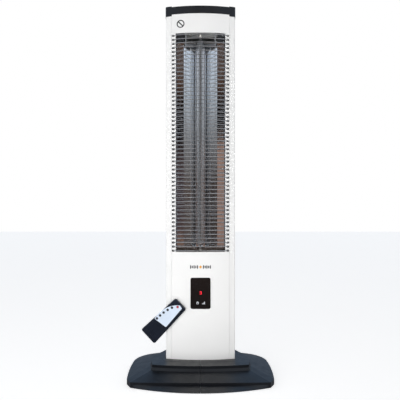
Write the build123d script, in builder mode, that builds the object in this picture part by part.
from build123d import *
import os
from math import asin, atan2, cos, degrees, radians, sin, sqrt, tan

# Tower heater with a glowing quartz lamp, a domed base and a small handset.
# Millimetres, +Z up, the front faces -Y, origin on the floor under the middle of the base.

os.makedirs("parts", exist_ok=True)

# ---------------------------------------------------------------- driving dimensions
BASE_HALF_W = 179.5
TOE_FRONT, RIM_FRONT, BASE_BACK = -138.0, -109.0, 138.0
RIM_CORNER, RIM_SIDE_START = (162.5, -105.0), (174.0, -84.0)
RIM_BOTTOM, TOE_TOP, RIM_TOP = 1.0, 7.9, 13.5
SHOULDER_Z, DOME_TOP = 29.0, 40.4
PLINTH_FRONT, PLINTH_INSET = -72.5, 4.0
PLINTH_BOTTOM, PLINTH_BEVEL_TOP, PLINTH_TOP = 24.0, 32.0, 38.5
BASE_WALL = 3.0
SEAM_GAP = 0.3

COLUMN_HALF_W = 87.0
COLUMN_FRONT, COLUMN_BACK = -27.0, 73.0
FRONT_RADIUS = 370.0
SHEET = 1.2
COLUMN_BOTTOM, COLUMN_TOP = 36.0, 907.0
PANEL_HALF_W = 73.4
RAIL_INNER = 73.8
RAIL_BACK, BACK_PANEL_START = 45.0, 45.4
SOCKET_FLOOR = 34.0

CAP_TOP, EAR_TOP, CAP_SKIRT = 925.6, 927.6, 902.7

WINDOW_HALF_W = 62.3
WINDOW_BOTTOM, WINDOW_TOP = 310.0, 859.0
WIRE_COUNT, WIRE_PITCH, FIRST_WIRE_Z = 54, 10.2, 313.0
WIRE_RADIUS = 0.9
WIRE_BOW, WIRE_HALF_SPAN = 8.3, 67.2
SLOT_MIDDLE, SLOT_W, SLOT_H = 68.5, 6.6, 5.2
ROD_X = 36.6

LAMP_Y, LAMP_RADIUS, LAMP_WALL = 9.0, 10.5, 1.2
LAMP_BOTTOM, LAMP_TOP = 331.0, 847.0
REFLECTOR_BOTTOM, REFLECTOR_TOP, FLANK_TOP = 320.5, 844.5, 878.0
MOUTH_HALF_W, MOUTH_Y = 43.0, 5.0
TROUGH_BACK_HALF_W, TROUGH_BACK_Y, TROUGH_BEND = 12.0, 22.0, 3.0

GLASS_W, GLASS_H, GLASS_BOTTOM = 50.0, 78.0, 167.5
GLASS_FRONT, GLASS_T = -27.8, 3.0

HANDSET_LENGTH, HANDSET_BOTTOM_W, HANDSET_TOP_W = 120.0, 49.0, 38.0
HANDSET_T, HANDSET_SPLIT = 9.0, 4.5
HANDSET_TILT = 45.0
HANDSET_X, HANDSET_Z = -90.2, 138.5
HANDSET_CONTACT_X, HANDSET_GAP = -57.0, 0.3
BUTTON_RADIUS, BUTTON_HOLE, BUTTON_FLANGE = 2.9, 3.2, 3.6

MIN, MAX, MID = Align.MIN, Align.MAX, Align.CENTER


def save(builder, label):
    """Label a finished piece and write it as its own file."""
    builder.part.label = label
    export_step(builder.part, f"parts/{label}.step")


def front_y(x, inset=0.0):
    """Y of the convex column front, x away from its middle line."""
    radius = FRONT_RADIUS - inset
    return COLUMN_FRONT + FRONT_RADIUS - sqrt(radius**2 - x**2)


def column_outline(inset):
    """Plan of the column, moved inwards by inset."""
    half = COLUMN_HALF_W - inset
    corner_y = front_y(half, inset)
    back = COLUMN_BACK - inset
    with BuildSketch(Plane.XY) as outline:
        with BuildLine():
            ThreePointArc((-half, corner_y), (0, COLUMN_FRONT + inset), (half, corner_y))
            Polyline((half, corner_y), (half, back), (-half, back), (-half, corner_y))
        make_face()
        fillet(outline.vertices().group_by(Axis.Y)[-1], radius=12.0 - inset)
        fillet(outline.vertices().group_by(Axis.Y)[0], radius=3.0 - inset)
    return outline.sketch


def base_outline(front, corner, side_start, half_w, tail_y, back, back_radius, inset=0.0):
    """Plan of a base tier: bowed front, mitred corners, bowed sides and back."""
    side_middle = (half_w, (side_start[1] + tail_y) / 2)
    right = [corner, side_start, side_middle, (side_start[0], tail_y)]
    left = [(-x, y) for x, y in right]
    with BuildSketch(Plane.XY) as outline:
        with BuildLine():
            ThreePointArc(left[0], (0, front), right[0])
            Line(right[0], right[1])
            ThreePointArc(*right[1:])
            ThreePointArc(right[-1], (0, back), left[-1])
            ThreePointArc(*left[1:])
            Line(left[0], left[1])
        make_face()
        if inset:
            offset(amount=-inset, kind=Kind.INTERSECTION)
        fillet(outline.vertices().sort_by(Axis.Y)[-2:], radius=back_radius - inset)
    return outline.sketch


def rim_outline(front, inset=0.0):
    """Plan of the lower tier: a bowed front for the toe, a nearly straight one for the rim."""
    return base_outline(front, RIM_CORNER, RIM_SIDE_START, BASE_HALF_W, 95, BASE_BACK, 75, inset)


def shoulder_outline(inset=0.0):
    """Plan of the dome where it turns steeper, below the second tier."""
    return base_outline(-62, (108, -48), (117, -22), 119, 62, 100, 35, inset)


def crown_outline(inset=0.0):
    """Plan of the dome's top, just outside the column."""
    return base_outline(-42, (90, -34), (98, -16), 99, 56, 84, 20, inset)


def plinth_outline(inset=0.0):
    """Plan of the second tier, whose sides run back into the dome."""
    corner, shoulder, tail = (121, -60.5), (127.5, -22), (99, 60)
    with BuildSketch(Plane.XY) as outline:
        with BuildLine():
            ThreePointArc((-corner[0], corner[1]), (0, PLINTH_FRONT), corner)
            Line(corner, shoulder)
            ThreePointArc(shoulder, (119, 22), tail)
            Line(tail, (-tail[0], tail[1]))
            ThreePointArc((-tail[0], tail[1]), (-119, 22), (-shoulder[0], shoulder[1]))
            Line((-shoulder[0], shoulder[1]), (-corner[0], corner[1]))
        make_face()
        if inset:
            offset(amount=-inset, kind=Kind.INTERSECTION)
    return outline.sketch


def tier(lower, z_low, upper, z_high):
    """Solid between two plans at two heights."""
    with BuildPart() as block:
        with BuildSketch(Plane.XY.offset(z_low)):
            add(lower)
        with BuildSketch(Plane.XY.offset(z_high)):
            add(upper)
        loft(ruled=True)
    return block.part


def slab(plan, z_low, z_high):
    """Upright slab with the given plan."""
    with BuildPart() as block:
        with BuildSketch(Plane.XY.offset(z_low)):
            add(plan)
        extrude(amount=z_high - z_low)
    return block.part


# ---------------------------------------------------------------- base
COLUMN_BOLTS = [(x, y) for x in (-62, 62) for y in (-6, 54)]
PLATE_SCREWS = [(x, y) for x in (-126, 126) for y in (-20, 48)] + [(-70, -66), (70, -66)]
FOOT_PLACES = [(x, y) for x in (-128, 128) for y in (-78, 78)]
SEAM_BOLTS = [-69, 100]
BALLAST_BOTTOM, BALLAST_TOP = 4.0, 8.0

with BuildPart() as base:
    add(tier(rim_outline(TOE_FRONT), RIM_BOTTOM, rim_outline(RIM_FRONT), TOE_TOP))
    add(slab(rim_outline(RIM_FRONT), TOE_TOP, RIM_TOP))
    add(tier(rim_outline(RIM_FRONT), RIM_TOP, shoulder_outline(), SHOULDER_Z))
    add(tier(shoulder_outline(), SHOULDER_Z, crown_outline(), DOME_TOP))
    add(tier(plinth_outline(), PLINTH_BOTTOM, plinth_outline(PLINTH_INSET), PLINTH_BEVEL_TOP))
    add(slab(plinth_outline(PLINTH_INSET), PLINTH_BEVEL_TOP, PLINTH_TOP))
    add(tier(plinth_outline(PLINTH_INSET), PLINTH_TOP, crown_outline(6.0), DOME_TOP))
    # hollow underside
    cavity = rim_outline(RIM_FRONT, BASE_WALL)
    add(slab(cavity, 0, RIM_TOP - BASE_WALL), mode=Mode.SUBTRACT)
    add(
        tier(cavity, RIM_TOP - BASE_WALL, shoulder_outline(2), SHOULDER_Z - BASE_WALL),
        mode=Mode.SUBTRACT,
    )
    add(
        tier(shoulder_outline(2), SHOULDER_Z - BASE_WALL, crown_outline(2), SOCKET_FLOOR - BASE_WALL),
        mode=Mode.SUBTRACT,
    )
    # bosses for the column bolts and the ballast screws, lugs for the bolts across the seam
    with BuildSketch(Plane.XY.offset(BALLAST_TOP)):
        with Locations(*COLUMN_BOLTS):
            Circle(8)
    extrude(amount=SOCKET_FLOOR - 1 - BALLAST_TOP)
    with BuildSketch(Plane.XY.offset(BALLAST_TOP)):
        with Locations(*PLATE_SCREWS):
            Circle(5)
    extrude(amount=16.5)
    with BuildSketch(Plane.XY.offset(BALLAST_TOP + 0.5)):
        with Locations(*[(0, y) for y in SEAM_BOLTS]):
            Rectangle(16, 18)
    extrude(amount=14.5)
    # socket for the column
    add(slab(column_outline(-1.0), SOCKET_FLOOR, DOME_TOP + 10), mode=Mode.SUBTRACT)
    with BuildSketch(Plane.XY):
        with Locations(*COLUMN_BOLTS):
            Circle(3.2)
    extrude(amount=DOME_TOP, mode=Mode.SUBTRACT)
    with BuildSketch(Plane.XY.offset(BALLAST_TOP)):
        with Locations(*PLATE_SCREWS):
            Circle(2.05)
    extrude(amount=11, mode=Mode.SUBTRACT)
    with BuildSketch(Plane.YZ):
        with Locations(*[(y, 16) for y in SEAM_BOLTS]):
            Circle(2.2)
    extrude(amount=20, both=True, mode=Mode.SUBTRACT)
    Box(SEAM_GAP, 2 * BASE_BACK + 20, 200, mode=Mode.SUBTRACT)

for label, side in (("base_half_left", -1), ("base_half_right", 1)):
    with BuildPart() as base_half:
        add(base.part)
        with Locations((-side * BASE_HALF_W, 0, 0)):
            Box(2 * BASE_HALF_W, 400, 200, mode=Mode.SUBTRACT)
    save(base_half, label)

with BuildPart() as ballast_plate:
    add(slab(rim_outline(RIM_FRONT, BASE_WALL + 1), BALLAST_BOTTOM, BALLAST_TOP))
    with Locations(*[(x, y, BALLAST_BOTTOM) for x, y in COLUMN_BOLTS]):
        Hole(3.2)
    with Locations(*[(x, y, BALLAST_BOTTOM) for x, y in PLATE_SCREWS]):
        Hole(2.2)
save(ballast_plate, "ballast_plate")

with BuildPart() as rubber_feet:
    with BuildSketch(Plane.XY):
        with Locations(*FOOT_PLACES):
            Circle(13)
    extrude(amount=BALLAST_BOTTOM)
    chamfer(rubber_feet.edges().group_by(Axis.Z)[0], length=1.0)
save(rubber_feet, "rubber_feet")

with BuildPart() as ballast_screws:
    with BuildSketch(Plane.XY.offset(BALLAST_BOTTOM)):
        with Locations(*PLATE_SCREWS):
            Circle(4)
    extrude(amount=-2.2)
    with BuildSketch(Plane.XY.offset(BALLAST_BOTTOM)):
        with Locations(*PLATE_SCREWS):
            Circle(2.0)
    extrude(amount=13)
save(ballast_screws, "ballast_screws")

with BuildPart() as seam_bolts:
    with BuildSketch(Plane.YZ.offset(8)):
        with Locations(*[(y, 16) for y in SEAM_BOLTS]):
            RegularPolygon(4, 6)
    extrude(amount=3)
    with BuildSketch(Plane.YZ.offset(-8)):
        with Locations(*[(y, 16) for y in SEAM_BOLTS]):
            RegularPolygon(4, 6)
    extrude(amount=-3)
    with BuildSketch(Plane.YZ):
        with Locations(*[(y, 16) for y in SEAM_BOLTS]):
            Circle(2.0)
    extrude(amount=12, both=True)
save(seam_bolts, "seam_bolts")

with BuildPart() as column_bolts:
    with BuildSketch(Plane.XY.offset(BALLAST_BOTTOM)):
        with Locations(*COLUMN_BOLTS):
            RegularPolygon(5.5, 6)
    extrude(amount=-2.8)
    with BuildSketch(Plane.XY.offset(BALLAST_BOTTOM)):
        with Locations(*COLUMN_BOLTS):
            Circle(3.0)
    extrude(amount=40)
    with BuildSketch(Plane.XY.offset(COLUMN_BOTTOM)):
        with Locations(*COLUMN_BOLTS):
            RegularPolygon(5.5, 6)
    extrude(amount=5)
save(column_bolts, "column_bolts")

# ---------------------------------------------------------------- column
with BuildPart() as column_foot_plate:
    add(slab(column_outline(0), SOCKET_FLOOR, COLUMN_BOTTOM))
    with Locations(*[(x, y, SOCKET_FLOOR) for x, y in COLUMN_BOLTS]):
        Hole(3.2)
save(column_foot_plate, "column_foot_plate")


def sheet_plan(x_low, x_high, y_low, y_high):
    """The part of the column's sheet wall that lies inside a rectangle."""
    with BuildSketch(Plane.XY) as plan:
        add(column_outline(0))
        add(column_outline(SHEET), mode=Mode.SUBTRACT)
        with Locations((x_low, y_low)):
            Rectangle(x_high - x_low, y_high - y_low, align=(MIN, MIN), mode=Mode.INTERSECT)
    return plan.sketch


FLANGE_DEPTH = 14.0
FAR = 200.0

with BuildPart() as front_panel:
    with BuildSketch(Plane.XY.offset(COLUMN_BOTTOM)):
        add(sheet_plan(-PANEL_HALF_W, PANEL_HALF_W, -FAR, 0))
        for side in (-1, 1):
            with Locations((side * (PANEL_HALF_W - SHEET / 2), front_y(PANEL_HALF_W) + 0.4)):
                Rectangle(SHEET, FLANGE_DEPTH, align=(MID, MIN))
    extrude(amount=COLUMN_TOP - COLUMN_BOTTOM)
    with BuildSketch(Plane.XZ):
        with Locations((0, (WINDOW_BOTTOM + WINDOW_TOP) / 2)):
            Rectangle(2 * WINDOW_HALF_W, WINDOW_TOP - WINDOW_BOTTOM)
        with Locations((0, GLASS_BOTTOM + GLASS_H / 2)):
            RectangleRounded(GLASS_W + 0.4, GLASS_H + 0.4, 5)
        for side in (-1, 1):
            with Locations(*[
                (side * SLOT_MIDDLE, FIRST_WIRE_Z + i * WIRE_PITCH) for i in range(WIRE_COUNT)
            ]):
                Rectangle(SLOT_W, SLOT_H)
    extrude(amount=60, both=True, mode=Mode.SUBTRACT)
save(front_panel, "front_panel")

for label, side in (("side_rail_left", -1), ("side_rail_right", 1)):
    with BuildPart() as side_rail:
        low, high = sorted((side * RAIL_INNER, side * FAR))
        with BuildSketch(Plane.XY.offset(COLUMN_BOTTOM)):
            add(sheet_plan(low, high, -FAR, RAIL_BACK))
            with Locations((side * (RAIL_INNER + SHEET / 2), front_y(RAIL_INNER) + 0.4)):
                Rectangle(SHEET, FLANGE_DEPTH, align=(MID, MIN))
        extrude(amount=COLUMN_TOP - COLUMN_BOTTOM)
    save(side_rail, label)

SWITCH_X, SWITCH_Z, SWITCH_HOLE_W, SWITCH_HOLE_H = 45.0, 130.0, 13.4, 19.4
GLAND_Z, GLAND_HOLE_RADIUS = 74.0, 8.2
SCREW_HOLE_RADIUS = 2.2
VENT_W, VENT_H, VENT_PITCH = 64.0, 4.0, 11.0
VENT_ROWS = [150 + i * VENT_PITCH for i in range(10)] + [760 + i * VENT_PITCH for i in range(10)]
STRAP_LEVELS = (50, 480, 880)
STRAP_W, STRAP_T, STRAP_H = 148.0, 1.5, 20.0
PANEL_SCREWS = [(x, z) for x in (-66, 66) for z in STRAP_LEVELS]

with BuildPart() as back_panel:
    with BuildSketch(Plane.XY.offset(COLUMN_BOTTOM)):
        add(sheet_plan(-FAR, FAR, BACK_PANEL_START, FAR))
    extrude(amount=COLUMN_TOP - COLUMN_BOTTOM)
    with BuildSketch(Plane.XZ.offset(-COLUMN_BACK)):
        with Locations(*[(-32, z) for z in VENT_ROWS[:10]]):
            SlotOverall(VENT_W, VENT_H)
        with Locations(*[(0, z) for z in VENT_ROWS[10:]]):
            SlotOverall(VENT_W, VENT_H)
        with Locations((SWITCH_X, SWITCH_Z)):
            Rectangle(SWITCH_HOLE_W, SWITCH_HOLE_H)
        with Locations((0, GLAND_Z)):
            Circle(GLAND_HOLE_RADIUS)
        with Locations(*PANEL_SCREWS):
            Circle(SCREW_HOLE_RADIUS)
    extrude(amount=10, both=True, mode=Mode.SUBTRACT)
save(back_panel, "back_panel")

with BuildPart() as rear_straps:
    for z in STRAP_LEVELS:
        with BuildSketch(Plane.XY.offset(z - STRAP_H / 2)):
            with Locations((0, COLUMN_BACK - SHEET)):
                Rectangle(STRAP_W, STRAP_T, align=(MID, MAX))
        extrude(amount=STRAP_H)
    with BuildSketch(Plane.XZ.offset(-COLUMN_BACK)):
        with Locations(*PANEL_SCREWS):
            Circle(2.0)
    extrude(amount=10, both=True, mode=Mode.SUBTRACT)
save(rear_straps, "rear_straps")

with BuildPart() as panel_screws:
    with BuildSketch(Plane.XZ.offset(-COLUMN_BACK)):
        with Locations(*PANEL_SCREWS):
            Circle(3.8)
    extrude(amount=-2.0)
    chamfer(panel_screws.edges().group_by(Axis.Y)[-1], length=0.8)
    with BuildSketch(Plane.XZ.offset(-COLUMN_BACK)):
        with Locations(*PANEL_SCREWS):
            Circle(1.95)
    extrude(amount=8)
save(panel_screws, "panel_screws")

CAP_SCREWS = [(x, 40) for x in (-55, 55)]
TOP_PLATE_Z = 903.0

with BuildPart() as column_top_plate:
    add(slab(column_outline(SHEET + 0.2), TOP_PLATE_Z, TOP_PLATE_Z + 2))
    # the front flanges of the rails and of the panel pass the plate's corners
    for side in (-1, 1):
        with Locations((side * 73.6, front_y(PANEL_HALF_W), TOP_PLATE_Z)):
            Box(4, 2 * FLANGE_DEPTH + 4, 10, mode=Mode.SUBTRACT)
    with Locations(*[(x, y, TOP_PLATE_Z) for x, y in CAP_SCREWS]):
        Hole(2.2)
save(column_top_plate, "column_top_plate")

with BuildPart() as top_cap:
    add(slab(column_outline(-1.2), COLUMN_TOP, CAP_TOP))
    with BuildSketch(Plane.XY.offset(COLUMN_TOP)) as ears:
        add(column_outline(-1.2))
        Rectangle(145, 400, mode=Mode.SUBTRACT)
    extrude(amount=EAR_TOP - COLUMN_TOP)
    fillet(top_cap.faces().sort_by(Axis.Z)[-2:].edges(), radius=1.0)
    with BuildSketch(Plane.XY.offset(COLUMN_TOP)) as skirt:
        add(column_outline(-1.2))
        add(column_outline(-0.2), mode=Mode.SUBTRACT)
        Rectangle(145, 400, mode=Mode.SUBTRACT)
    extrude(amount=CAP_SKIRT - COLUMN_TOP)
    add(slab(column_outline(2.5), COLUMN_TOP - 1, CAP_TOP - 3), mode=Mode.SUBTRACT)
    with BuildSketch(Plane.XY.offset(COLUMN_TOP)):
        with Locations(*CAP_SCREWS):
            Circle(4)
    extrude(amount=17)
    with BuildSketch(Plane.XY.offset(COLUMN_TOP)):
        with Locations(*CAP_SCREWS):
            Circle(2.05)
    extrude(amount=13, mode=Mode.SUBTRACT)
save(top_cap, "top_cap")

with BuildPart() as cap_screws:
    with BuildSketch(Plane.XY.offset(TOP_PLATE_Z)):
        with Locations(*CAP_SCREWS):
            Circle(4)
    extrude(amount=-2.2)
    with BuildSketch(Plane.XY.offset(TOP_PLATE_Z)):
        with Locations(*CAP_SCREWS):
            Circle(2.0)
    extrude(amount=15)
save(cap_screws, "cap_screws")

# ---------------------------------------------------------------- guard
WIRE_END_Y = front_y(WIRE_HALF_SPAN) - WIRE_RADIUS - 0.7
WIRE_MIDDLE_Y = WIRE_END_Y - WIRE_BOW
HOOK_END_Y = front_y(WIRE_HALF_SPAN, SHEET) + 0.2
ROD_GAP = 0.05
BOW_RADIUS = (WIRE_HALF_SPAN**2 + WIRE_BOW**2) / (2 * WIRE_BOW)
HOOK_BEND = 1.6


def wire_curve_y(x):
    """Y of a guard wire's centre line, x away from the middle."""
    return WIRE_MIDDLE_Y + BOW_RADIUS - sqrt(BOW_RADIUS**2 - x**2)


# each wire is one bowed arc whose ends turn back through the slots of the front panel
end_angle = asin(WIRE_HALF_SPAN / BOW_RADIUS)
hook_x = WIRE_HALF_SPAN + HOOK_BEND * (1 - sin(end_angle))
hook_start_y = WIRE_END_Y + HOOK_BEND * cos(end_angle)
with BuildPart() as guard_wire:
    with BuildLine(Plane.XY.offset(FIRST_WIRE_Z)) as path:
        Line((-hook_x, HOOK_END_Y), (-hook_x, hook_start_y))
        turn = 90 - degrees(end_angle)
        JernArc((-hook_x, hook_start_y), (0, -1), HOOK_BEND, turn)
        ThreePointArc(
            (-WIRE_HALF_SPAN, WIRE_END_Y), (0, WIRE_MIDDLE_Y), (WIRE_HALF_SPAN, WIRE_END_Y)
        )
        JernArc((WIRE_HALF_SPAN, WIRE_END_Y), (cos(end_angle), sin(end_angle)), HOOK_BEND, turn)
        Line((hook_x, hook_start_y), (hook_x, HOOK_END_Y))
    with BuildSketch(Plane(origin=path.wire() @ 0, z_dir=path.wire() % 0)):
        Circle(WIRE_RADIUS)
    sweep(path=path.wire())

with BuildPart() as guard_wires:
    with Locations(*[(0, 0, i * WIRE_PITCH) for i in range(WIRE_COUNT)]):
        add(guard_wire.part)
save(guard_wires, "guard_wires")

ROD_Y = wire_curve_y(ROD_X) + 2 * WIRE_RADIUS + ROD_GAP
with BuildPart() as guard_rods:
    with BuildSketch(Plane.XY.offset(WINDOW_BOTTOM + 0.5)):
        with Locations((-ROD_X, ROD_Y), (ROD_X, ROD_Y)):
            Circle(WIRE_RADIUS)
    extrude(amount=WINDOW_TOP - WINDOW_BOTTOM - 1)
save(guard_rods, "guard_rods")

# ---------------------------------------------------------------- lamp and reflector
FOIL = 0.8
trough_slope = atan2(TROUGH_BACK_Y - MOUTH_Y, MOUTH_HALF_W - TROUGH_BACK_HALF_W)
outer_mouth = MOUTH_HALF_W + FOIL / sin(trough_slope)
outer_back = TROUGH_BACK_HALF_W + FOIL * tan(trough_slope / 2)
with BuildPart() as reflector_trough:
    with BuildSketch(Plane.XY.offset(REFLECTOR_BOTTOM)):
        Polygon(
            (-outer_mouth, MOUTH_Y),
            (-outer_back, TROUGH_BACK_Y + FOIL),
            (outer_back, TROUGH_BACK_Y + FOIL),
            (outer_mouth, MOUTH_Y),
            align=None,
        )
    extrude(amount=REFLECTOR_TOP - REFLECTOR_BOTTOM)
    back_edges = reflector_trough.edges().filter_by(Axis.Z).group_by(Axis.Y)[-1]
    fillet(back_edges, radius=TROUGH_BEND + FOIL)
    with BuildPart(mode=Mode.SUBTRACT) as trough_space:
        with BuildSketch(Plane.XY.offset(REFLECTOR_BOTTOM)):
            Polygon(
                (-MOUTH_HALF_W, MOUTH_Y),
                (-TROUGH_BACK_HALF_W, TROUGH_BACK_Y),
                (TROUGH_BACK_HALF_W, TROUGH_BACK_Y),
                (MOUTH_HALF_W, MOUTH_Y),
                align=None,
            )
        extrude(amount=REFLECTOR_TOP - REFLECTOR_BOTTOM)
        back_edges = trough_space.edges().filter_by(Axis.Z).group_by(Axis.Y)[-1]
        fillet(back_edges, radius=TROUGH_BEND)
save(reflector_trough, "reflector_trough")

FLANK_INNER, FLANK_OUTER, FLANK_FRONT = MOUTH_HALF_W + 0.1, 65.0, -18.5
FLANK_BACK = MOUTH_Y - 0.1
with BuildPart() as reflector_flanks:
    for side in (-1, 1):
        with BuildSketch(Plane.XY.offset(REFLECTOR_BOTTOM)):
            with Locations((side * (FLANK_INNER + FLANK_OUTER) / 2, FLANK_BACK)):
                Rectangle(FLANK_OUTER - FLANK_INNER, FOIL, align=(MID, MAX))
            with Locations((side * (FLANK_OUTER - FOIL / 2), FLANK_FRONT)):
                Rectangle(FOIL, FLANK_BACK - FLANK_FRONT, align=(MID, MIN))
        extrude(amount=FLANK_TOP - REFLECTOR_BOTTOM)
save(reflector_flanks, "reflector_flanks")

# each bracket closes one end of the trough and carries the lamp's clip on an upstand
BRACKET_BACK, BRACKET_HALF_W = 44.0, COLUMN_HALF_W - SHEET - 0.2
BRACKET_T, BRACKET_EAR_H, BRACKET_EAR_W = 2.0, 14.0, 24.0
LAMP_NOTCH = LAMP_RADIUS + 1.5
UPSTAND_Y, UPSTAND_HALF_W = 38.0, 64.0
UPPER_UPSTAND_H, LOWER_UPSTAND_H = 33.0, 22.0
with BuildPart() as reflector_brackets:
    for z_low in (REFLECTOR_BOTTOM - BRACKET_T, REFLECTOR_TOP):
        with BuildSketch(Plane.XY.offset(z_low)):
            with Locations((0, FLANK_BACK)):
                Rectangle(2 * BRACKET_HALF_W, BRACKET_BACK - FLANK_BACK, align=(MID, MIN))
            with Locations((0, LAMP_Y)):
                Circle(LAMP_NOTCH, mode=Mode.SUBTRACT)
        extrude(amount=BRACKET_T)
    for z, height, align in (
        (REFLECTOR_TOP, UPPER_UPSTAND_H, MIN),
        (REFLECTOR_BOTTOM, LOWER_UPSTAND_H, MAX),
    ):
        with Locations((0, UPSTAND_Y, z)):
            Box(2 * UPSTAND_HALF_W, FOIL, height, align=(MID, MIN, align))
        for side in (-1, 1):
            with Locations((side * (BRACKET_HALF_W - SHEET / 2), FLANK_BACK + 1, z)):
                Box(SHEET, BRACKET_EAR_W, BRACKET_EAR_H, align=(MID, MIN, align))
save(reflector_brackets, "reflector_brackets")

with BuildPart() as lamp_tube:
    with BuildSketch(Plane.XY.offset(LAMP_BOTTOM)):
        with Locations((0, LAMP_Y)):
            Circle(LAMP_RADIUS)
            Circle(LAMP_RADIUS - LAMP_WALL, mode=Mode.SUBTRACT)
    extrude(amount=LAMP_TOP - LAMP_BOTTOM)
save(lamp_tube, "lamp_tube")

SEAL_H, NECK_H, SEAL_END_RADIUS = 10.0, 6.0, 3.0
NECK_W, NECK_T = 5.6, 3.6
with BuildPart() as lamp_seals:
    for z, direction in ((LAMP_BOTTOM, -1), (LAMP_TOP, 1)):
        with BuildSketch(Plane.XY.offset(z)):
            with Locations((0, LAMP_Y)):
                Circle(LAMP_RADIUS)
        with BuildSketch(Plane.XY.offset(z + direction * SEAL_H)):
            with Locations((0, LAMP_Y)):
                Circle(SEAL_END_RADIUS)
        loft()
        with BuildSketch(Plane.XY.offset(z + direction * SEAL_H)):
            with Locations((0, LAMP_Y)):
                Rectangle(NECK_W, NECK_T)
        extrude(amount=direction * NECK_H)
save(lamp_seals, "lamp_seals")

FILAMENT_RADIUS = 2.0
with BuildPart() as carbon_filament:
    with BuildSketch(Plane.XY.offset(LAMP_BOTTOM)):
        with Locations((0, LAMP_Y)):
            Circle(FILAMENT_RADIUS)
    extrude(amount=LAMP_TOP - LAMP_BOTTOM)
save(carbon_filament, "carbon_filament")

NECK_END = SEAL_H + NECK_H
END_CAP_RADIUS, END_CAP_H = 3.2, 7.0
with BuildPart() as lamp_end_caps:
    for z, direction in ((LAMP_BOTTOM - NECK_END, -1), (LAMP_TOP + NECK_END, 1)):
        with BuildSketch(Plane.XY.offset(z)):
            with Locations((0, LAMP_Y)):
                Circle(END_CAP_RADIUS)
        extrude(amount=direction * END_CAP_H)
    fillet(lamp_end_caps.edges().filter_by(GeomType.CIRCLE), radius=1.0)
save(lamp_end_caps, "lamp_end_caps")

# open at the front, with a tail that reaches the bracket's upstand
CLIP_H, CLIP_WALL, CLIP_TAIL_W = 3.0, 0.8, 5.0
CLIP_OUTER = END_CAP_RADIUS + 0.1 + CLIP_WALL
with BuildPart() as lamp_clips:
    for z in (LAMP_BOTTOM - NECK_END - (END_CAP_H + CLIP_H) / 2,
              LAMP_TOP + NECK_END + (END_CAP_H - CLIP_H) / 2):
        with BuildSketch(Plane.XY.offset(z)):
            with Locations((0, LAMP_Y)):
                Circle(CLIP_OUTER)
                Circle(END_CAP_RADIUS + 0.1, mode=Mode.SUBTRACT)
            with Locations((0, LAMP_Y)):
                Rectangle(2 * CLIP_OUTER, CLIP_OUTER, align=(MID, MAX), mode=Mode.SUBTRACT)
            with Locations((0, LAMP_Y + CLIP_OUTER - CLIP_WALL / 2)):
                tail = UPSTAND_Y - LAMP_Y - CLIP_OUTER + CLIP_WALL / 2
                Rectangle(CLIP_TAIL_W, tail, align=(MID, MIN))
        extrude(amount=CLIP_H)
save(lamp_clips, "lamp_clips")

CUTOUT_PLACE, CUTOUT_RADIUS, CUTOUT_H = (56.0, 24.0), 8.0, 9.0
with BuildPart() as thermal_cutout:
    with BuildSketch(Plane.XY.offset(REFLECTOR_TOP + BRACKET_T)):
        with Locations(CUTOUT_PLACE):
            Circle(CUTOUT_RADIUS)
    extrude(amount=CUTOUT_H)
    with BuildSketch(Plane.XY.offset(REFLECTOR_TOP + BRACKET_T + CUTOUT_H)):
        with Locations(*[(CUTOUT_PLACE[0] + i * 4, CUTOUT_PLACE[1]) for i in (-1, 1)]):
            Rectangle(0.8, 6)
    extrude(amount=7)
save(thermal_cutout, "thermal_cutout")

# both leads end in the control chamber, the upper one behind the trough
LEAD_RADIUS, LEAD_BEND, LEAD_END_Z = 1.5, 6.0, 260.0
UPPER_LEAD_Z = LAMP_TOP + NECK_END + END_CAP_H
LOWER_LEAD_Z = LAMP_BOTTOM - NECK_END - END_CAP_H
LEAD_ROUTES = [
    [(0, LAMP_Y, UPPER_LEAD_Z), (0, LAMP_Y, 888), (-30, 56, 888), (-30, 56, LEAD_END_Z)],
    [(0, LAMP_Y, LOWER_LEAD_Z), (0, LAMP_Y, 284), (14, 50, 284), (14, 50, LEAD_END_Z)],
]
with BuildPart() as lamp_leads:
    for points in LEAD_ROUTES:
        with BuildLine() as route:
            FilletPolyline(*points, radius=LEAD_BEND)
        with BuildSketch(Plane(origin=route.wire() @ 0, z_dir=route.wire() % 0)):
            Circle(LEAD_RADIUS)
        sweep(path=route.wire())
save(lamp_leads, "lamp_leads")

# ---------------------------------------------------------------- display
GLASS_MIDDLE = GLASS_BOTTOM + GLASS_H / 2
GLASS_BACK = GLASS_FRONT + GLASS_T

with BuildPart() as display_glass:
    with BuildSketch(Plane.XZ.offset(-GLASS_BACK)):
        with Locations((0, GLASS_MIDDLE)):
            RectangleRounded(GLASS_W, GLASS_H, 5)
    extrude(amount=GLASS_T)
    fillet(display_glass.faces().sort_by(Axis.Y)[0].edges(), radius=0.5)
save(display_glass, "display_glass")

HOLDER_STEP = 0.6
with BuildPart() as display_holder:
    with BuildSketch(Plane.XZ.offset(-GLASS_BACK)):
        with Locations((0, GLASS_MIDDLE)):
            RectangleRounded(GLASS_W - 1, GLASS_H - 1, 4.5)
    extrude(amount=-HOLDER_STEP)
    with BuildSketch(Plane.XZ.offset(-GLASS_BACK - HOLDER_STEP)):
        with Locations((0, GLASS_MIDDLE)):
            RectangleRounded(GLASS_W + 10, GLASS_H + 10, 8)
    extrude(amount=-12)
    with BuildSketch(Plane.XZ.offset(-GLASS_BACK)):
        with Locations((0, GLASS_MIDDLE)):
            RectangleRounded(GLASS_W - 6, GLASS_H - 6, 4)
    extrude(amount=-10, mode=Mode.SUBTRACT)
save(display_holder, "display_holder")

with BuildPart() as display_board:
    with BuildSketch(Plane.XZ.offset(-GLASS_BACK - 8.4)):
        with Locations((0, GLASS_MIDDLE)):
            RectangleRounded(GLASS_W - 7, GLASS_H - 7, 4)
    extrude(amount=-1.6)
save(display_board, "display_board")

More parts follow.
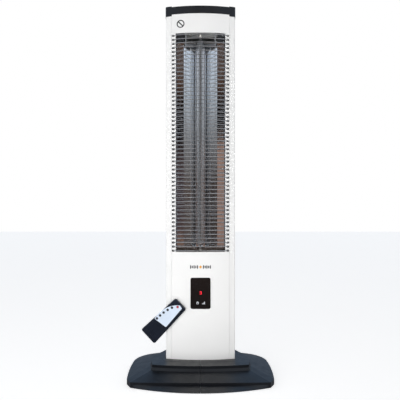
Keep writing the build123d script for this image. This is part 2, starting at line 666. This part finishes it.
with BuildPart() as digit_module:
    with BuildSketch(Plane.XZ.offset(-GLASS_BACK - 1.4)):
        with Locations((0, GLASS_MIDDLE)):
            Rectangle(12, 19)
    extrude(amount=-7)
save(digit_module, "digit_module")

with BuildPart() as ir_receiver:
    with BuildSketch(Plane.XZ.offset(-GLASS_BACK - 3.4)):
        with Locations((0, GLASS_MIDDLE + 25)):
            Rectangle(6, 7)
    extrude(amount=-5)
    with BuildSketch(Plane.XZ.offset(-GLASS_BACK - 3.4)):
        with Locations((0, GLASS_MIDDLE + 25)):
            Circle(2.4)
    extrude(amount=1.6)
save(ir_receiver, "ir_receiver")

# ---------------------------------------------------------------- control chamber
BOARD_X, BOARD_Y, BOARD_Z = 0.0, 60.0, 205.0
BOARD_W, BOARD_H = 96.0, 76.0
STANDOFFS = [(BOARD_X + i * 42, BOARD_Z + j * 33) for i in (-1, 1) for j in (-1, 1)]

with BuildPart() as power_board:
    with BuildSketch(Plane.XZ.offset(-BOARD_Y)):
        with Locations((BOARD_X, BOARD_Z)):
            Rectangle(BOARD_W, BOARD_H)
        with Locations(*STANDOFFS):
            Circle(1.6, mode=Mode.SUBTRACT)
    extrude(amount=-1.6)
save(power_board, "power_board")

with BuildPart() as standoffs:
    with BuildSketch(Plane.XZ.offset(-BOARD_Y - 1.6)):
        with Locations(*STANDOFFS):
            RegularPolygon(3.2, 6)
    extrude(amount=-(COLUMN_BACK - SHEET - BOARD_Y - 1.6))
save(standoffs, "board_standoffs")

with BuildPart() as relays:
    with BuildSketch(Plane.XZ.offset(-BOARD_Y)):
        with Locations((BOARD_X - 30, BOARD_Z + 18), (BOARD_X - 30, BOARD_Z - 4)):
            Rectangle(22, 16)
    extrude(amount=16)
    fillet(relays.edges().filter_by(Axis.Y), radius=1)
save(relays, "relays")

with BuildPart() as heat_sink:
    with BuildSketch(Plane.XY.offset(BOARD_Z - 20)):
        with Locations((BOARD_X + 32, BOARD_Y)):
            Rectangle(24, 4, align=(MID, MAX))
        for i in range(5):
            with Locations((BOARD_X + 32 - 11 + i * 5.5, BOARD_Y - 4)):
                Rectangle(1.6, 16, align=(MID, MAX))
    extrude(amount=40)
save(heat_sink, "heat_sink")

with BuildPart() as triac:
    with Locations((BOARD_X + 12, BOARD_Y, BOARD_Z + 14)):
        Box(10, 4.4, 15, align=(MID, MAX, MID))
    with Locations(*[(BOARD_X + 12 + i * 2.5, BOARD_Y - 1, BOARD_Z) for i in (-1, 0, 1)]):
        Box(0.9, 0.9, 14, align=(MID, MID, MID))
save(triac, "triac")

with BuildPart() as terminal_block:
    with Locations((BOARD_X, BOARD_Y, BOARD_Z - 28)):
        Box(48, 12, 13, align=(MID, MAX, MID))
    with Locations(*[(BOARD_X - 18 + i * 12, BOARD_Y - 12, BOARD_Z - 28) for i in range(4)]):
        Box(7, 8, 8, align=(MID, MIN, MID), mode=Mode.SUBTRACT)
save(terminal_block, "terminal_block")

with BuildPart() as cable_gland:
    with BuildSketch(Plane.XZ.offset(-COLUMN_BACK)):
        with Locations((0, GLAND_Z)):
            RegularPolygon(11.5, 6)
    extrude(amount=-5)
    with BuildSketch(Plane.XZ.offset(-COLUMN_BACK - 5)):
        with Locations((0, GLAND_Z)):
            Circle(9.2)
    extrude(amount=-9, taper=8)
    with BuildSketch(Plane.XZ.offset(-COLUMN_BACK)):
        with Locations((0, GLAND_Z)):
            Circle(8.0)
    extrude(amount=14)
    with BuildSketch(Plane.XZ.offset(-COLUMN_BACK)):
        with Locations((0, GLAND_Z)):
            Circle(3.6)
    extrude(amount=30, both=True, mode=Mode.SUBTRACT)
save(cable_gland, "cable_gland")

with BuildPart() as gland_nut:
    with BuildSketch(Plane.XZ.offset(-COLUMN_BACK + SHEET)):
        with Locations((0, GLAND_Z)):
            RegularPolygon(11.5, 6)
            Circle(8.0, mode=Mode.SUBTRACT)
    extrude(amount=5)
save(gland_nut, "gland_nut")

# mains rocker switch in the back panel
ROCKER_PIVOT_Y = COLUMN_BACK + 0.5
ROCKER_REST = 10.0
with BuildPart() as switch_body:
    with BuildSketch(Plane.XZ.offset(-COLUMN_BACK)):
        with Locations((SWITCH_X, SWITCH_Z)):
            RectangleRounded(17, 23, 2)
    extrude(amount=-1.8)
    with BuildSketch(Plane.XZ.offset(-COLUMN_BACK)):
        with Locations((SWITCH_X, SWITCH_Z)):
            Rectangle(13, 19)
    extrude(amount=16)
    with BuildSketch(Plane.XZ.offset(-COLUMN_BACK - 5)):
        with Locations((SWITCH_X, SWITCH_Z)):
            Rectangle(10.0, 16.8)
    extrude(amount=15, mode=Mode.SUBTRACT)
    with BuildSketch(Plane.YZ.offset(SWITCH_X)):
        with Locations((ROCKER_PIVOT_Y - 2, SWITCH_Z)):
            Circle(1.1)
    extrude(amount=6.2, both=True, mode=Mode.SUBTRACT)
save(switch_body, "switch_body")

with BuildPart() as rocker:
    with BuildSketch(Plane.YZ.offset(SWITCH_X)):
        with BuildLine():
            Polyline(
                (ROCKER_PIVOT_Y + 2.2, SWITCH_Z - 7.2),
                (ROCKER_PIVOT_Y + 1.0, SWITCH_Z),
                (ROCKER_PIVOT_Y + 2.2, SWITCH_Z + 7.2),
                (ROCKER_PIVOT_Y - 5.0, SWITCH_Z + 5.0),
                (ROCKER_PIVOT_Y - 5.0, SWITCH_Z - 5.0),
                close=True,
            )
        make_face()
    extrude(amount=4.7, both=True)
    with BuildSketch(Plane.YZ.offset(SWITCH_X)):
        with Locations((ROCKER_PIVOT_Y - 2, SWITCH_Z)):
            Circle(1.05)
    extrude(amount=6.0, both=True)
rocker_axis = Axis((SWITCH_X, ROCKER_PIVOT_Y - 2, SWITCH_Z), (1, 0, 0))
rocker.part = rocker.part.rotate(rocker_axis, ROCKER_REST)
save(rocker, "rocker")

# tip-over switch: a pendulum that hangs in a housing on the column foot
TILT_X, TILT_Y, TILT_PIVOT_Z = -40.0, 30.0, 78.0
with BuildPart() as tilt_housing:
    with Locations((TILT_X, TILT_Y, COLUMN_BOTTOM)):
        Box(44, 18, 50, align=(MID, MID, MIN))
    with Locations((TILT_X, TILT_Y, COLUMN_BOTTOM + 2)):
        Box(40, 14, 46, align=(MID, MID, MIN), mode=Mode.SUBTRACT)
    with BuildSketch(Plane.XZ.offset(-TILT_Y)):
        with Locations((TILT_X, TILT_PIVOT_Z)):
            Circle(1.05)
    extrude(amount=8.2, both=True, mode=Mode.SUBTRACT)
save(tilt_housing, "tilt_switch_housing")

with BuildPart() as pendulum:
    with BuildSketch(Plane.XZ.offset(-TILT_Y)):
        with Locations((TILT_X, TILT_PIVOT_Z)):
            Circle(1.0)
    extrude(amount=8.0, both=True)
    with BuildSketch(Plane.XZ.offset(-TILT_Y)):
        with Locations((TILT_X, TILT_PIVOT_Z)):
            Circle(3.0)
        with Locations((TILT_X, TILT_PIVOT_Z - 12)):
            Rectangle(3, 24)
        with Locations((TILT_X, TILT_PIVOT_Z - 26)):
            Circle(8)
    extrude(amount=4, both=True)
save(pendulum, "tilt_pendulum")

# ---------------------------------------------------------------- handset
contact_angle = asin(HANDSET_CONTACT_X / FRONT_RADIUS)
normal = Vector(sin(contact_angle), -cos(contact_angle), 0)
across = Vector(cos(contact_angle), sin(contact_angle), 0)
contact = Vector(HANDSET_CONTACT_X, front_y(HANDSET_CONTACT_X), HANDSET_Z)
handset_origin = contact + across * ((HANDSET_X - HANDSET_CONTACT_X) / across.X) + normal * HANDSET_GAP
tilt = radians(HANDSET_TILT)
width_axis = across * cos(tilt) - Vector(0, 0, 1) * sin(tilt)
HANDSET_PLANE = Plane(origin=handset_origin, x_dir=width_axis, z_dir=normal)


def handset_level(height):
    """Plane parallel to the handset's back, height above it."""
    return HANDSET_PLANE.offset(height)


def handset_outline(inset):
    """Plan of the handset, a little wider at its lower end."""
    top = HANDSET_LENGTH / 2 - inset
    wide, narrow = HANDSET_BOTTOM_W / 2 - inset, HANDSET_TOP_W / 2 - inset
    with BuildSketch(Plane.XY) as outline:
        with BuildLine():
            Polyline((-wide, -top), (wide, -top), (narrow, top), (-narrow, top), close=True)
        make_face()
        fillet(outline.vertices(), radius=5.0 - inset)
    return outline.sketch


BUTTONS = {
    "button_power": (0.0, 49.5),
    "button_mode": (-8.5, 37.8),
    "button_up": (-12.2, 26.0),
    "button_down": (-14.6, 13.6),
    "button_timer": (-15.7, 1.8),
    "button_light": (-15.9, -9.2),
}
FACE_T, OVERLAY_T = 1.6, 0.4
EDGE_BEVEL, EDGE_DROP = 2.2, 2.0
TRAY_W, TRAY_L, TRAY_T = 27.0, 32.0, 3.2
TRAY_LOW = 1.0
LED_BACK_Y, LED_RADIUS, LED_LENGTH = 54.6, 2.5, 5.0
MAGNET_PLACE = (8.0, 40.0)

with BuildPart() as handset_back:
    with BuildSketch(handset_level(0)):
        add(handset_outline(1.0))
    with BuildSketch(handset_level(1.2)):
        add(handset_outline(0))
    loft(ruled=True)
    with BuildSketch(handset_level(1.2)):
        add(handset_outline(0))
    extrude(amount=HANDSET_SPLIT - 1.2)
    with BuildSketch(handset_level(TRAY_LOW)):
        with Locations((0, 25)):
            Rectangle(30, 50)
    extrude(amount=6, mode=Mode.SUBTRACT)
    # drawer space for the coin cell, open at the lower end
    with BuildSketch(handset_level(TRAY_LOW)):
        with Locations((0, -HANDSET_LENGTH / 2 - 1)):
            Rectangle(TRAY_W + 0.6, TRAY_L + 3, align=(MID, MIN))
    extrude(amount=TRAY_T + 0.4, mode=Mode.SUBTRACT)
    with BuildSketch(handset_level(0)):
        with Locations(MAGNET_PLACE):
            Circle(5.1)
    extrude(amount=0.9, mode=Mode.SUBTRACT)
    with BuildSketch(handset_level(HANDSET_SPLIT)):
        with Locations((0, LED_BACK_Y - 0.4)):
            Rectangle(2 * LED_RADIUS + 0.4, 10, align=(MID, MIN))
    extrude(amount=-2.7, mode=Mode.SUBTRACT)
save(handset_back, "handset_back_shell")


def overlay_outline(inset):
    """Plan of the pale label panel on the upper part of the face."""
    with BuildSketch(Plane.XY) as outline:
        with BuildLine():
            Polyline((-20, -14.5), (15.5, -8), (10.5, 55), (1, 56.5))
            ThreePointArc((1, 56.5), (-14.5, 36), (-20, -14.5))
        make_face()
        fillet(outline.vertices(), radius=1.5)
        offset(amount=-inset, kind=Kind.INTERSECTION)
    return outline.sketch


with BuildPart() as handset_front:
    with BuildSketch(handset_level(HANDSET_SPLIT)):
        add(handset_outline(0))
    extrude(amount=HANDSET_T - HANDSET_SPLIT - EDGE_DROP)
    with BuildSketch(handset_level(HANDSET_T - EDGE_DROP)):
        add(handset_outline(0))
    with BuildSketch(handset_level(HANDSET_T)):
        add(handset_outline(EDGE_BEVEL))
    loft(ruled=True)
    with BuildSketch(handset_level(HANDSET_SPLIT)):
        add(handset_outline(1.6))
    extrude(amount=HANDSET_T - FACE_T - HANDSET_SPLIT, mode=Mode.SUBTRACT)
    with BuildSketch(handset_level(0)):
        with Locations(*BUTTONS.values()):
            Circle(BUTTON_HOLE)
    extrude(amount=20, mode=Mode.SUBTRACT)
    with BuildSketch(handset_level(HANDSET_SPLIT)):
        with Locations((0, LED_BACK_Y - 0.4)):
            Rectangle(2 * LED_RADIUS + 0.4, 10, align=(MID, MIN))
    extrude(amount=2.7, mode=Mode.SUBTRACT)
    with BuildSketch(handset_level(HANDSET_T - OVERLAY_T)):
        add(overlay_outline(0.05))
    extrude(amount=2, mode=Mode.SUBTRACT)
save(handset_front, "handset_front_shell")

with BuildPart() as overlay:
    with BuildSketch(handset_level(HANDSET_T - OVERLAY_T)):
        add(overlay_outline(0.12))
        with Locations(*BUTTONS.values()):
            Circle(BUTTON_HOLE, mode=Mode.SUBTRACT)
    extrude(amount=OVERLAY_T)
save(overlay, "handset_overlay")

with BuildPart() as handset_board:
    with BuildSketch(handset_level(HANDSET_SPLIT + 0.1)):
        add(handset_outline(2.4))
        with Locations((0, LED_BACK_Y - 0.4)):
            Rectangle(2 * LED_RADIUS + 0.6, 10, align=(MID, MIN), mode=Mode.SUBTRACT)
    extrude(amount=1.0)
save(handset_board, "handset_board")

with BuildPart() as handset_led:
    led_plane = Plane(
        origin=HANDSET_PLANE.from_local_coords(Vector(0, LED_BACK_Y, HANDSET_SPLIT)),
        x_dir=HANDSET_PLANE.x_dir,
        z_dir=HANDSET_PLANE.y_dir,
    )
    with BuildSketch(led_plane):
        Circle(LED_RADIUS)
    extrude(amount=LED_LENGTH)
    tip = handset_led.faces().sort_by(Axis(HANDSET_PLANE.origin, HANDSET_PLANE.y_dir))[-1]
    fillet(tip.edges(), radius=2.0)
save(handset_led, "handset_ir_led")

with BuildPart() as magnet:
    with BuildSketch(handset_level(0.1)):
        with Locations(MAGNET_PLACE):
            Circle(5.0)
    extrude(amount=0.7)
save(magnet, "handset_magnet")

with BuildPart() as battery_tray:
    with BuildSketch(handset_level(TRAY_LOW + 0.2)):
        with Locations((0, -HANDSET_LENGTH / 2)):
            Rectangle(TRAY_W, TRAY_L, align=(MID, MIN))
    extrude(amount=TRAY_T - 0.2)
    with BuildSketch(handset_level(TRAY_LOW + 0.7)):
        with Locations((0, -HANDSET_LENGTH / 2 + 18)):
            Circle(10.2)
    extrude(amount=5, mode=Mode.SUBTRACT)
save(battery_tray, "battery_tray")

with BuildPart() as coin_cell:
    with BuildSketch(handset_level(TRAY_LOW + 0.7)):
        with Locations((0, -HANDSET_LENGTH / 2 + 18)):
            Circle(10.0)
    extrude(amount=2.4)
save(coin_cell, "coin_cell")

BUTTON_TOP, BUTTON_FLANGE_TOP, BUTTON_FOOT = 9.5, 7.2, 6.4
for label, place in BUTTONS.items():
    with BuildPart() as button:
        with BuildSketch(handset_level(BUTTON_FOOT)):
            with Locations(place):
                Circle(BUTTON_FLANGE)
        extrude(amount=BUTTON_FLANGE_TOP - BUTTON_FOOT)
        with BuildSketch(handset_level(BUTTON_FOOT)):
            with Locations(place):
                Circle(BUTTON_RADIUS)
        extrude(amount=BUTTON_TOP - BUTTON_FOOT)
    save(button, label)
